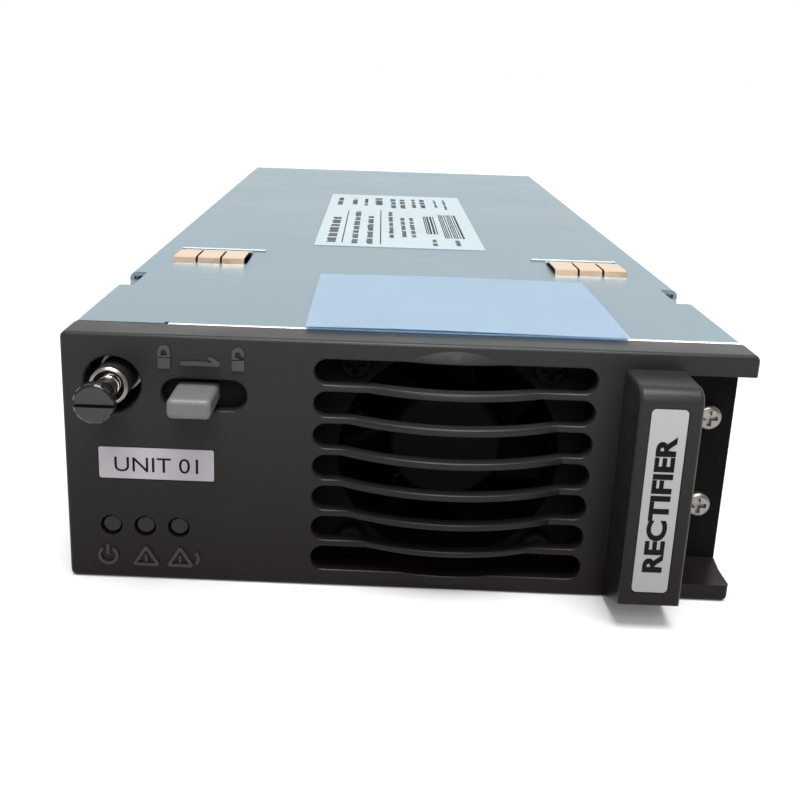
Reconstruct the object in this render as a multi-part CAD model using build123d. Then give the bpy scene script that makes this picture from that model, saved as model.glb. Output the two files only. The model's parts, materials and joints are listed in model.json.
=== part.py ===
from build123d import *
import math
import os

# Hot-plug rectifier module, one rack unit high and a quarter of a shelf wide.
# +X is to the right of a person facing the front, +Y runs from front to back and +Z is up.
# The origin is the middle of the underside of the case. Sizes are in millimetres.

# ---- Case ----
case_width = 106.0
case_height = 41.0
case_length = 256.0  # face of the bezel to the outside of the rear panel
sheet = 0.8  # zinc-plated steel
bend_radius = 1.3  # outside of a fold
sheet_gap = 0.1  # between two sheet edges that end side by side
flap_height = 10.5  # sides of the cover, folded down over the tray
cover_lip = 2.0  # front edge of the cover, folded down
lip_start = 15.3  # from the left side of the case
lip_round = 0.56
lip_setback = 0.4  # front edge of the cover, to the left of the lip
lip_notch = (0.7, 1.3)  # width and length of the slit where the lip starts
rear_lip = 6.4
rear_lip_overrun = 5.0  # past the rear screws
right_tab = (6.0, 5.0)  # width, and reach below the lower recess screw
left_tab = (3.4, 6.0, 4.0)  # past the hidden screw: to the right, down and up

# ---- Bezel ----
bezel_depth = 6.8
bezel_wall = 2.0
bezel_gap = 0.2  # rim of the bezel to the sheet metal
bezel_corner_round = 1.0  # corners of its outline
bezel_edge_round = 0.7  # outline of its face
rim_round = 0.4  # mouths of the latch slot and of the screw's cup
frame_depth = 7.6  # face of the bezel to the face of the inner frame
frame_thickness = 1.7
frame_inset = 0.4  # right edge of the inner frame, inside the case's side
hook_size = (3.0, 1.2)
hook_barb = 0.9
hook_catch = 1.6  # length of the barb behind the inner frame
hook_spacing = 5.0  # from the grille to the pair of hooks on its left

# ---- Grille ----
slot_count = 7
bar_height = 1.18
grille_margin = 2.37  # top and bottom
grille_left = 38.95  # from the left side of the case
grille_right = 23.9  # from the right side of the case
dome_half_width = 17.3
dome_edge = 1.0  # dome to the top and bottom of the bezel
dome_rise = 4.6

# ---- Handle ----
handle_left = 20.0  # from the right side of the case, at the front of the grip
handle_right = 10.7
handle_reach = 10.0
handle_wall = 2.4
handle_inner_bevel = 1.5
handle_drop = 2.7  # from the top of the case
handle_top_round = 2.6
handle_low_front = 4.3
handle_low_back = 0.5
handle_round = 0.7
recess_drop = 3.4  # from the top of the case
recess_bottom = 2.9
recess_ramp = 1.2  # rise of the recess's floor towards the back
handle_label_width = 5.3
handle_label_low = 6.45
handle_label_drop = 2.95  # from the top of the grip
handle_label_shift = 0.2  # towards the left
handle_label_round = 0.7
front_label_round = 0.3
label_thickness = 0.3
label_border = 0.15

# ---- Captive screw ----
screw_left = 7.85  # from the left side of the case
screw_drop = 7.8  # from the top of the case
screw_cup_radius = 4.45
screw_cup_drop = 0.3  # middle of the cup, below the screw
cup_wall = 1.2
ferrule_radius = 2.98
ferrule_wall = 0.5
ferrule_reach = 2.3  # in front of the bezel's face
ferrule_flange = (3.4, 1.0)  # radius and thickness
ferrule_floor = 4.1  # from the spring's seat to the back
ferrule_neck = 1.0  # narrow part of the bore, which holds the thread back
thread_radius = 1.5
thread_chamfer = 0.4
tip_setback = 0.3  # tip of the screw, inside the back of the ferrule
shank_radius = 1.2
shank_start = 1.2  # from the front of the knob
knob_radius = 3.05
knob_thickness = 2.2
knob_round = 0.5
knob_reach = 11.0
knob_length = 7.0
knob_cone = 2.6
knob_root = 2.6  # radius where the cone leaves the disc
neck_radius = 1.75
knob_slot = (1.0, 0.8)  # width and depth
flute_count = 12
flute_radius = 0.45
flute_shift = 0.25  # middle of a flute, outside the disc
washer_radius = 1.75
washer_thickness = 0.6
running_gap = 0.05
spring_radius = 1.5  # middle of the wire
spring_wire = 0.45
spring_turns = 6

# ---- Slide latch ----
latch_slot = (13.2, 4.9)
latch_slot_left = 15.44  # from the left side of the case
latch_drop = 9.35  # middle of the slot, from the top of the case
latch_travel = 3.9
button_size = (6.6, 3.1)
button_left = 17.6  # from the left side of the case
button_reach = 7.5
button_round = 0.85
button_foot = (1.0, 0.8)  # overhang and thickness
latch_sheet = 1.2
latch_shutter_height = 5.8
latch_leg_width = 4.5
latch_web_gap = 1.4  # web, to the right of the slot
latch_arm_height = 4.8
latch_arm_drop = 12.2  # top of the arm, from the top of the case
latch_arm_setback = 2.0  # behind the inner frame
latch_gap = 0.25
bolt_throw = 2.4  # bolt tip, outside the case
bolt_bevel = 1.6
bolt_nose = 0.3  # flat left at the tip
latch_spring_radius = 1.4
latch_spring_wire = 0.35
latch_spring_turns = 5
latch_spring_solid = 1.2  # shortest length, as a share of turns times wire

# ---- Front labels and indicators ----
front_label_size = (18.15, 5.2)
front_label_left = 5.35
front_label_low = 17.4
lamp_radius = 1.75
lamp_fit = 0.1
lamp_left = 7.0
lamp_pitch = 5.4
lamp_height = 9.3
lamp_setback = 0.5  # end of the light pipe, behind the bezel's face
lamp_rim = (0.55, 0.8)  # overhang and thickness of the pipe's collar
lamp_board_size = (17.2, 7.4, 1.0)
lamp_body_size = (2.0, 1.2, 1.6)
icon_relief = 0.4
icon_line = 0.5
icon_sink = 0.2  # how far an icon runs into the face
mark_rise = 6.1  # padlocks and arrow, above the middle of the latch's slot
lamp_mark_drop = 5.2  # lamps' icons, below the lamps

# ---- Top of the cover ----
finger_length = 14.6
finger_width = 4.5
finger_gap = 0.45
finger_rise = 1.3
finger_count = 3
finger_sheet = 0.2
finger_crest = (1.1, 5.5)  # crest, from the front and from the back of the finger
finger_heel = 1.4  # flat part at the back
finger_root = 1.0  # strip that joins the fingers
finger_lead = 0.25  # how far the front of a finger leans back
finger_fall = 0.15  # share of the rise lost at both ends of the crest
finger_setback = 58.0  # from the bezel's face
finger_inset_left = 6.4  # from the side of the case
finger_inset_right = 7.4
finger_window = 0.5  # window in the cover, wider than the fingers
bead_width = 1.1
bead_rise = 0.6
bead_round = 0.44
bead_gap = 0.4  # from the fingers
bead_outside = 0.9  # past the fingers, towards the side of the case
bead_inside = 2.8
dimple_depth = 1.6
dimple_start = 35.0
dimple_length = 12.0
dimple_ramp = 2.6
dimple_height = 9.5
dimple_screw_drop = 5.9
ledge_drop = 1.5
ledge_width = 3.4
ledge_hole = (0.55, 0.75)  # radius, and distance from the ledge's edge
rating_label_size = (39.0, 95.0)
rating_label_start = 84.0
blank_label_size = (50.6, 43.0)
blank_label_start = 5.5
blank_label_shift = 1.85  # to the right of the grille's middle
top_label_thickness = 0.15

# ---- Screws ----
m3_radius = 1.5
m3_clearance = 0.15
pan_head_radius = 2.75
pan_head_height = 1.8
m25_radius = 1.25
small_head_radius = 2.1
small_head_height = 1.4
head_round = 0.55  # share of the head's height
drive_width = 0.34  # share of the head's radius
drive_reach = 0.62
drive_depth = 0.5  # share of the head's height
thin_head_radius = 2.7
thin_head_height = 1.2
thin_drive = (0.7, 2.9, 0.6)  # width, length and depth
cover_screw_length = 4.5
frame_screw_length = 6.0
fan_screw_length = 9.0
rear_screw_length = 4.0
recess_screw_inset = 4.5  # from the right side of the case
recess_screw_heights = (13.85, 28.85)
hidden_screw_inset = 5.2  # from the left side of the case
hidden_screw_height = 15.5

# ---- Fan ----
fan_clearance = 0.7
fan_depth = 28.0
fan_wall = 1.1
fan_screw_gap = 0.35  # heads of its screws to the rim of the bezel
blade_count = 7
blade_angle = 38.0
blade_thickness = 1.1
blade_gap = 0.5
hub_radius = 9.6
hub_wall = 1.2
hub_round = 1.2
hub_face = 2.0  # thickness of the hub's front
hub_clear = (3.0, 4.5)  # hub to the front and to the back of the fan
fan_corner = 3.0
spoke_size = (2.6, 2.4)
shaft_radius = 1.0
shaft_setback = 0.8  # from the front of the hub
bearing_radius = 2.4
bearing_setback = 5.0

# ---- Board and power parts ----
board_thickness = 1.6
board_height = 6.0
board_start = 46.0  # from the bezel's face
board_end_gap = 3.0
board_side_gap = 2.0
standoff_radius = 2.6
insulation = 0.25
sink_base = 3.0
sink_height = 28.0
sink_fin = 1.3
sink_fin_length = 7.0
sink_fin_count = 6
sink_length = 118.0
sink_start = 58.0
sink_side_gap = 4.0
device_size = (5.0, 15.8, 20.6)
device_count = 5
device_leg = (0.6, 1.2, 4.0)
device_leg_gap = 2.4  # from the heatsink
cap_radius = 11.0
cap_height = 29.0
small_cap_radius = 5.0
small_cap_height = 20.0
choke_radius = 13.0
choke_bore = 7.0
choke_height = 11.0
winding_thickness = 1.6
winding_gap = 0.2  # winding of the transformer to its core
winding_split = 3.0  # between the halves of a choke's winding
core_size = (32.0, 27.0, 26.0)
core_wall = 4.5
core_leg_radius = 5.5
core_lift = 1.0  # above the board
box_cap_size = (12.0, 24.0, 18.0)
fuse_radius = 2.6
fuse_length = 20.0
fuse_cap = 5.0
fuse_cap_wall = 0.3
fuse_lift = 0.4  # above the board
fuse_clip = 3.0
control_board_size = (1.6, 60.0, 24.0)
control_board_x = 27.0

# ---- Rear ----
plug_size = (72.0, 23.0, 15.0)
plug_reach = 9.0
plug_fit = 0.3
blade_slot = (2.4, 9.6)
power_blade = (1.0, 7.6)
power_count = 6
power_pitch = 8.0
contact_depth = 12.0
pin_size = 0.7
pin_hole = 1.3
pin_columns = 6
pin_rows = 4
pin_pitch = 2.5
vent_width = 2.4
vent_height = 11.0
vent_pitch = 4.8
vent_count = 19
rear_screw_x = 44.0
rear_screw_inset = 4.4  # from the top of the case
rear_screw_height = 3.4  # of the lower pair

# ---- Places worked out from the sizes above ----
left = -case_width / 2
right = case_width / 2
front = -case_length / 2
back = case_length / 2
floor = sheet
ceiling = case_height - sheet
metal_front = front + bezel_depth + bezel_gap
frame_front = front + frame_depth
frame_back = frame_front + frame_thickness
frame_top = case_height - cover_lip - bezel_gap
inner_side = right - 2 * sheet  # inside of the tray where the cover laps it
flap_low = case_height - flap_height
grille_x = (left + grille_left + right - grille_right) / 2
grille_z = case_height / 2
slot_length = case_width - grille_left - grille_right
slot_pitch = (case_height - 2 * grille_margin) / slot_count
slot_height = slot_pitch - bar_height
dome_half_height = case_height / 2 - dome_edge
fan_size = case_height - 2 * (sheet + fan_clearance)
fan_bore = fan_size / 2 - fan_wall
screw_x = left + screw_left
screw_z = case_height - screw_drop
latch_z = case_height - latch_drop
handle_x = right - handle_left
handle_end = right - handle_right
handle_top = case_height - handle_drop
recess_top = case_height - recess_drop
ferrule_bore = ferrule_radius - ferrule_wall
cup_z = screw_z - screw_cup_drop
board_top = board_height + board_thickness
board_side = right - sheet - board_side_gap
board_front = front + board_start
board_back = back - board_end_gap
label_face = case_height


# ---- Basic shapes ----
def block(x, y, z):
    """Box between a low and a high value along each axis."""
    spans = (x, y, z)
    middle = [(low + high) / 2 for low, high in spans]
    return Pos(*middle) * Box(*[high - low for low, high in spans])


def rod_x(span, y, z, radius):
    """Cylinder along X."""
    length = span[1] - span[0]
    return Pos(sum(span) / 2, y, z) * Rot(0, 90, 0) * Cylinder(radius, length)


def rod_y(x, span, z, radius):
    """Cylinder along Y."""
    length = span[1] - span[0]
    return Pos(x, sum(span) / 2, z) * Rot(-90, 0, 0) * Cylinder(radius, length)


def rod_z(x, y, span, radius):
    """Cylinder along Z."""
    length = span[1] - span[0]
    return Pos(x, y, sum(span) / 2) * Cylinder(radius, length)


def cone_y(x, span, z, front_radius, back_radius):
    """Cone along Y between two radii."""
    length = span[1] - span[0]
    return Pos(x, sum(span) / 2, z) * Rot(-90, 0, 0) * Cone(front_radius, back_radius, length)


def prism(points, way):
    """Straight solid from a closed flat outline, pushed along a vector."""
    outline = Face(Wire.make_polygon([Vector(*point) for point in points], close=True))
    return extrude(outline, amount=Vector(*way).length, dir=way)


def mouth_round(shell, near, radius):
    """The shell with the front edges of one hole rounded; a box around the hole finds them."""
    low, high = near
    rims = [edge for edge in shell.edges() if low.X < edge.center().X < high.X
            and low.Z < edge.center().Z < high.Z and abs(edge.bounding_box().max.Y - front) < 1e-3]
    return fillet(rims, radius)


def slot_y(x, span, z, width, height):
    """Round-ended slot that runs through along Y, longer along X."""
    shape = extrude(SlotOverall(width, height), amount=(span[1] - span[0]) / 2, both=True)
    return Pos(x, sum(span) / 2, z) * Rot(90, 0, 0) * shape


def slot_upright(x, span, z, width, height):
    """Round-ended slot that runs through along Y, longer along Z."""
    shape = extrude(SlotOverall(height, width, 90), amount=(span[1] - span[0]) / 2, both=True)
    return Pos(x, sum(span) / 2, z) * Rot(90, 0, 0) * shape


def coil(radius, wire, turns, height):
    """Open coil spring standing on the XY plane, from z = 0 to its height."""
    run = height - wire
    path = Helix(pitch=run / turns, height=run, radius=radius)
    section = Plane(origin=path @ 0, z_dir=path % 0) * Circle(wire / 2)
    return Pos(0, 0, wire / 2) * sweep(section, path=path, is_frenet=True)


def ring_z(x, y, span, outer, inner):
    """Flat-ended ring about a vertical axis."""
    return rod_z(x, y, span, outer) - rod_z(x, y, span, inner)


def mirrored(shape):
    """The same shape on the other side of the module's middle."""
    return mirror(shape, about=Plane.YZ)


def spread(lengths, start, end):
    """Middles of pieces laid in a row with equal gaps between a start and an end."""
    gap = (end - start - sum(lengths)) / (len(lengths) + 1)
    middles = []
    edge = start + gap
    for length in lengths:
        middles.append(edge + length / 2)
        edge += length + gap
    return middles


def pan_screw_y(x, z, seat, length, way, small=False):
    """Pan-head screw along Y; way is 1 when its tip points to the back."""
    shank_size = m25_radius if small else m3_radius
    head_size = small_head_radius if small else pan_head_radius
    height = small_head_height if small else pan_head_height
    head = rod_y(x, sorted((seat, seat - way * height)), z, head_size)
    outer = head.edges().filter_by(GeomType.CIRCLE).sort_by(Axis.Y)[0 if way > 0 else -1]
    head = fillet(outer, height * head_round)
    face = seat - way * height
    for turn in (0, 90):
        arm = Box(2 * head_size * drive_reach, 2 * height * drive_depth, head_size * drive_width)
        head -= Pos(x, face, z) * Rot(0, turn, 0) * arm
    return head + rod_y(x, sorted((seat, seat + way * length)), z, shank_size)


# ---- Bezel ----
def dome(shift, overrun):
    """Shallow oval cap that bulges from the bezel, moved back by shift and run on by overrun."""
    ball_radius = (dome_half_width ** 2 + dome_rise ** 2) / (2 * dome_rise)
    ball = Pos(0, ball_radius - dome_rise, 0) * Sphere(ball_radius)
    cap = ball & block((-dome_half_width, dome_half_width), (-dome_rise - 1, overrun),
                       (-dome_half_width, dome_half_width))
    cap = scale(cap, by=(1, 1, dome_half_height / dome_half_width))
    return Pos(grille_x, front + shift, grille_z) * cap


def handle_body():
    """Fixed grip: a wall out from the bezel, a front plate and two webs, open to the right."""
    y_front = front - handle_reach
    outline = [
        (handle_x, front + bezel_wall, handle_top),
        (handle_x, y_front, handle_top),
        (handle_x, y_front, handle_low_front),
        (handle_x, front, handle_low_back),
        (handle_x, front + bezel_wall, handle_low_back),
    ]
    body = prism(outline, (handle_end - handle_x, 0, 0))
    top_edge = body.edges().filter_by(Axis.X).group_by(Axis.Z)[-1].sort_by(Axis.Y)[0]
    body = fillet(top_edge, handle_top_round)
    fronts = body.faces().sort_by(Axis.Y)[0]
    body = fillet(fronts.edges().filter_by(Axis.Z), handle_round)
    inner_front = y_front + handle_wall
    inner_left = handle_x + handle_wall
    gap = [
        (inner_left, front + frame_depth, recess_top),
        (inner_left, front, handle_top - handle_wall),
        (inner_left, inner_front + handle_inner_bevel, handle_top - handle_wall),
        (inner_left, inner_front, handle_top - handle_wall - handle_inner_bevel),
        (inner_left, inner_front, handle_low_front + handle_wall),
        (inner_left, front, recess_bottom),
        (inner_left, front + frame_depth, recess_bottom),
    ]
    return body - prism(gap, (handle_left, 0, 0))


def handle_label_box(grow, y_span):
    """Space of the label on the grip, with a border."""
    middle = (handle_x + handle_end) / 2 - handle_label_shift
    width = handle_label_width + 2 * grow
    low = handle_label_low - grow
    high = handle_top - handle_label_drop + grow
    shape = block((middle - width / 2, middle + width / 2), y_span, (low, high))
    return fillet(shape.edges().filter_by(Axis.Y), handle_label_round + grow)


def front_label_box(grow, y_span):
    """Space of the label on the bezel's face, with a border."""
    x = left + front_label_left
    span_x = (x - grow, x + front_label_size[0] + grow)
    span_z = (front_label_low - grow, front_label_low + front_label_size[1] + grow)
    shape = block(span_x, y_span, span_z)
    return fillet(shape.edges().filter_by(Axis.Y), front_label_round + grow)


def lamp_places():
    """X of each indicator."""
    return [left + lamp_left + i * lamp_pitch for i in range(3)]


def bar(x, z, width, height, turn=0):
    """Raised line of an icon, on the bezel's face."""
    line = Box(width, icon_relief + icon_sink, height)
    return Pos(x, front + (icon_sink - icon_relief) / 2, z) * Rot(0, turn, 0) * line


def arc_line(x, z, radius, start, sweep_angle):
    """Raised curved line of an icon, on the bezel's face."""
    path = CenterArc((0, 0), radius, start, sweep_angle)
    outline = trace(path, line_width=icon_line)
    relief = extrude(outline, amount=icon_relief + icon_sink)
    return Pos(x, front + icon_sink, z) * Rot(90, 0, 0) * relief


def padlock(x, z, opened):
    """Padlock icon: a body under an arched shackle, which an open one has cut on one side."""
    half_width = 0.95
    span = (front - icon_relief, front + icon_sink)
    body = block((x - half_width, x + half_width), span, (z - 1.95, z - 0.3))
    shackle = rod_y(x, span, z + 0.75, half_width)
    shackle += block((x - half_width, x + half_width), span, (z - 0.15, z + 0.75))
    shackle -= rod_y(x, span, z + 0.6, half_width - icon_line)
    shackle -= block((x - half_width + icon_line, x + half_width - icon_line), span,
                     (z + 0.1, z + 0.6))
    if opened:
        shackle -= block((x, x + half_width), span, (z - 0.15, z + 0.4))
    return [body, shackle]


def alarm_icon(x, z):
    """Triangle outline with a short bar inside it."""
    half_side = 1.9
    lines = [bar(x, z - 1.35, 2 * half_side, icon_line)]
    for way in (-1, 1):
        lines.append(bar(x + way * half_side / 2, z + 0.15, 3.6, icon_line, way * 58))
    lines.append(bar(x, z - 0.25, 0.4, 1.2))
    return lines


def icons():
    """All the raised icons of the bezel."""
    mark_z = latch_z + mark_rise
    slot_x = left + latch_slot_left
    closed_x = slot_x + 0.6
    open_x = slot_x + latch_slot[0] - 1.3
    arrow_x = slot_x + 6.1
    found = padlock(closed_x, mark_z, False) + padlock(open_x, mark_z, True)
    found.append(bar(arrow_x, mark_z - 1.05, 5.9, 0.6))
    found.append(bar(arrow_x + 2.15, mark_z - 0.55, 1.9, icon_line, 32))
    lamps = lamp_places()
    base_z = lamp_height - lamp_mark_drop
    found.append(arc_line(lamps[0] - 0.65, base_z, 1.4, 125, 290))
    found.append(bar(lamps[0] - 0.65, base_z + 1.0, icon_line, 1.7))
    found += alarm_icon(lamps[1] + 0.1, base_z)
    found += alarm_icon(lamps[2] + 0.2, base_z)
    found.append(arc_line(lamps[2] + 1.6, base_z, 1.5, -40, 80))
    return found


def front_bezel():
    """Moulded front with its grille, domed over the fan, and the fixed handle."""
    outer = block((left, right), (front, front + bezel_depth), (0, case_height))
    outer = fillet(outer.edges().filter_by(Axis.Y), bezel_corner_round)
    outer = fillet(outer.faces().sort_by(Axis.Y)[0].edges(), bezel_edge_round)
    rim_in = bezel_wall
    divider = handle_x + handle_wall
    cavity = block((left + rim_in, handle_x), (front + bezel_wall, front + frame_depth + 1),
                   (rim_in, case_height - rim_in))
    recess = block((divider, right + 1), (front - 1, front + frame_depth + 1),
                   (recess_bottom, recess_top))
    shell = outer - cavity - recess
    shell += block((handle_x, divider), (front + bezel_wall, frame_front), (floor, frame_top))
    shell += block((divider, right - frame_inset), (front + bezel_wall, frame_front),
                   (recess_top, frame_top))
    ramp = [
        (divider, front + bezel_wall, floor + bezel_gap),
        (divider, frame_front, floor + bezel_gap),
        (divider, frame_front, recess_bottom + recess_ramp),
        (divider, front + bezel_wall, recess_bottom),
    ]
    shell += prism(ramp, (right - frame_inset - divider, 0, 0))
    shell += dome(0, bezel_wall / 2)
    shell -= dome(bezel_wall, bezel_wall / 2)
    y_through = (front - dome_rise - 1, front + bezel_wall + 1)
    for i in range(slot_count):
        z = grille_z + (i - (slot_count - 1) / 2) * slot_pitch
        shell -= slot_y(grille_x, y_through, z, slot_length, slot_height)
    shell += handle_body()
    cup_span = (front + bezel_wall / 2, frame_front)
    shell += rod_y(screw_x, cup_span, cup_z, screw_cup_radius + cup_wall)
    shell -= rod_y(screw_x, (front - 1, frame_front + 1), cup_z, screw_cup_radius)
    slot_x = left + latch_slot_left + latch_slot[0] / 2
    shell -= slot_y(slot_x, y_through, latch_z, *latch_slot)
    for x, z, width, height in ((slot_x, latch_z, *latch_slot),
                                (screw_x, cup_z, 2 * screw_cup_radius, 2 * screw_cup_radius)):
        near = (Vector(x - width / 2 - 1, 0, z - height / 2 - 1),
                Vector(x + width / 2 + 1, 0, z + height / 2 + 1))
        shell = mouth_round(shell, near, rim_round)
    for x in lamp_places():
        shell -= rod_y(x, y_through, lamp_height, lamp_radius)
    shell -= front_label_box(label_border, (front - 1, front + label_thickness))
    grip_front = front - handle_reach
    shell -= handle_label_box(label_border, (grip_front - 1, grip_front + label_thickness))
    for x, z in hook_places():
        shell += hook(x, z)
    for icon in icons():
        shell += icon
    return shell


def hook_places():
    """Middles of the snap hooks between the bezel and the inner frame."""
    edge = bezel_wall + hook_size[1] / 2
    beside_latch = left + grille_left - hook_spacing
    before_handle = handle_x - bezel_gap - hook_size[0] / 2
    return [(x, z) for x in (beside_latch, before_handle) for z in (edge, frame_top - edge)]


def hook(x, z):
    """Snap hook that reaches through the inner frame and grips its back."""
    width, height = hook_size
    inwards = 1 if z < case_height / 2 else -1
    end = frame_back + hook_catch
    arm = block((x - width / 2, x + width / 2), (front + bezel_wall / 2, end),
                (z - height / 2, z + height / 2))
    barb_z = sorted((z, z + inwards * (height / 2 + hook_barb)))
    return arm + block((x - width / 2, x + width / 2), (frame_back, end), barb_z)


def handle_label():
    """Printed plate let into the grip."""
    grip_front = front - handle_reach
    return handle_label_box(0, (grip_front, grip_front + label_thickness))


def front_label():
    """Printed label in its shallow pocket."""
    return front_label_box(0, (front, front + label_thickness))


# ---- Inner frame ----
def latch_window():
    """Hole in the inner frame that the latch moves in."""
    bridge_left, bridge_right = latch_bridge()
    top = case_height - latch_arm_drop
    span_x = (bridge_left - latch_gap, bridge_right + latch_travel + latch_gap)
    return block(span_x, (frame_front - 1, frame_back + 1),
                 (top - latch_arm_height - latch_gap, top + latch_gap))


def left_screw_place():
    """The inner frame's third screw, hidden behind the bezel."""
    return left + hidden_screw_inset, hidden_screw_height


def frame_screw_places():
    """Screws that hold the inner frame to the tray."""
    x = right - recess_screw_inset
    return [(x, z) for z in recess_screw_heights] + [left_screw_place()]


def fan_screw_places():
    """Screws at the corners of the fan."""
    reach = case_height / 2 - bezel_wall - pan_head_radius - fan_screw_gap
    return [(grille_x + i * reach, grille_z + j * reach) for i in (-1, 1) for j in (-1, 1)]


def inner_frame():
    """Black plate behind the bezel that carries the fan, the latch and the screw's ferrule."""
    plate = block((left + 2 * sheet, right - frame_inset), (frame_front, frame_back),
                  (floor, frame_top))
    plate -= rod_y(grille_x, (frame_front - 1, frame_back + 1), grille_z, fan_bore)
    plate -= rod_y(screw_x, (frame_front - 1, frame_back + 1), screw_z, ferrule_radius)
    for x, z in frame_screw_places():
        plate -= rod_y(x, (frame_front - 1, frame_back + 1), z, m25_radius + m3_clearance)
    for x, z in fan_screw_places():
        plate -= rod_y(x, (frame_front - 1, frame_back + 1), z, m3_radius + m3_clearance)
    plate -= latch_window()
    for x, z in hook_places():
        width, height = hook_size
        inwards = 1 if z < case_height / 2 else -1
        opening_z = sorted((z - inwards * (height / 2 + latch_gap),
                            z + inwards * (height / 2 + latch_gap)))
        plate -= block((x - width / 2 - latch_gap, x + width / 2 + latch_gap),
                       (frame_front - 1, frame_back + 1), opening_z)
    spring_x = latch_spring_span()[1]
    arm_z = latch_arm_span()
    plate += block((spring_x, spring_x + latch_sheet), (frame_back, latch_arm_back() + 1), arm_z)
    return plate


# ---- Slide latch ----
def latch_arm_span():
    """Bottom and top of the latch's arm."""
    top = case_height - latch_arm_drop
    return top - latch_arm_height, top


def latch_arm_front():
    """Front face of the arm behind the inner frame."""
    return frame_back + latch_arm_setback


def latch_arm_back():
    """Rear face of the arm behind the inner frame."""
    return latch_arm_front() + latch_sheet


def latch_bridge():
    """Left and right faces of the web that joins the latch's two plates."""
    web_right = left + latch_slot_left + latch_slot[0] + latch_web_gap
    return web_right - latch_sheet, web_right


def latch_spring_span():
    """Both ends of the latch's spring."""
    start = latch_bridge()[1]
    solid = latch_spring_turns * latch_spring_wire * latch_spring_solid
    return start, start + latch_travel + solid + latch_spring_wire


def latch_shutter_front():
    """Front face of the plate that moves behind the slot."""
    return front + bezel_wall + latch_gap


def slide_button():
    """Grey finger button through the latch's shutter, held by its foot."""
    width, height = button_size
    overhang, foot_thickness = button_foot
    x = left + button_left
    shutter_back = latch_shutter_front() + latch_sheet
    span_z = (latch_z - height / 2, latch_z + height / 2)
    body = block((x, x + width), (front - button_reach, shutter_back), span_z)
    body = fillet(body.edges().filter_by(Axis.Y), button_round)
    body = fillet(body.faces().sort_by(Axis.Y)[0].edges(), button_round)
    return body + block((x - overhang, x + width + overhang),
                        (shutter_back, shutter_back + foot_thickness), span_z)


def latch_plate():
    """Bent steel plate: shutter behind the slot, web through the frame, arm with its bolt."""
    width, height = button_size
    plate_y = latch_shutter_front()
    web_left, web_right = latch_bridge()
    arm_low, arm_high = latch_arm_span()
    span_y = (plate_y, plate_y + latch_sheet)
    shutter_left = screw_x + screw_cup_radius + cup_wall + latch_gap
    shutter_reach = latch_shutter_height / 2
    shutter = block((shutter_left, web_right), span_y,
                    (latch_z - shutter_reach, latch_z + shutter_reach))
    button_x = left + button_left
    hole = block((button_x, button_x + width), (plate_y - 1, plate_y + latch_sheet + 1),
                 (latch_z - height / 2, latch_z + height / 2))
    shutter -= fillet(hole.edges().filter_by(Axis.Y), button_round)
    leg = block((web_right - latch_leg_width, web_right), span_y, (arm_low, latch_z))
    web = block((web_left, web_right), (plate_y, latch_arm_back()), (arm_low, arm_high))
    arm = block((left - bolt_throw, web_right), (latch_arm_front(), latch_arm_back()),
                (arm_low, arm_high))
    bevel = [
        (left - bolt_throw, latch_arm_back(), arm_low),
        (left - bolt_throw, latch_arm_front() + bolt_nose, arm_low),
        (left - bolt_throw + bolt_bevel, latch_arm_back(), arm_low),
    ]
    return shutter + leg + web + arm - prism(bevel, (0, 0, latch_arm_height))


def latch_spring():
    """Spring that pushes the latch back to its locked end."""
    start, end = latch_spring_span()
    shape = coil(latch_spring_radius, latch_spring_wire, latch_spring_turns, end - start)
    middle_y = (frame_back + latch_arm_back() + 1) / 2
    return Pos(start, middle_y, sum(latch_arm_span()) / 2) * Rot(0, 90, 0) * shape


# ---- Captive screw ----
mouth = front - ferrule_reach
shoulder = frame_back - ferrule_floor  # step inside the ferrule that the spring stands on
thread_start = shoulder + ferrule_neck + 2 * running_gap
knob_front = front - knob_reach
knob_back = knob_front + knob_thickness
neck_end = knob_front + knob_length
washer_back = neck_end + washer_thickness


def screw_ferrule():
    """Nickel sleeve pressed into the inner frame, with a chamfered mouth."""
    flange_radius, flange_thickness = ferrule_flange
    body = rod_y(screw_x, (mouth, frame_back), screw_z, ferrule_radius)
    rim = body.edges().filter_by(GeomType.CIRCLE).sort_by(Axis.Y)[0]
    body = chamfer(rim, ferrule_wall * 0.6)
    body += rod_y(screw_x, (frame_front - flange_thickness, frame_front), screw_z, flange_radius)
    body -= rod_y(screw_x, (mouth - 1, shoulder), screw_z, ferrule_bore)
    neck_bore = shank_radius + 2 * running_gap
    body -= rod_y(screw_x, (shoulder - 1, frame_back), screw_z, neck_bore)
    thread_bore = thread_radius + 2 * running_gap
    return body - rod_y(screw_x, (shoulder + ferrule_neck, frame_back + 1), screw_z, thread_bore)


def captive_screw():
    """Steel screw: a plain shank that the knob is moulded on, and a wider thread at its tip."""
    thread = rod_y(screw_x, (thread_start, frame_back - tip_setback), screw_z, thread_radius)
    end = thread.edges().filter_by(GeomType.CIRCLE).sort_by(Axis.Y)[-1]
    thread = chamfer(end, thread_chamfer)
    return thread + rod_y(screw_x, (knob_front + shank_start, thread_start), screw_z, shank_radius)


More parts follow.
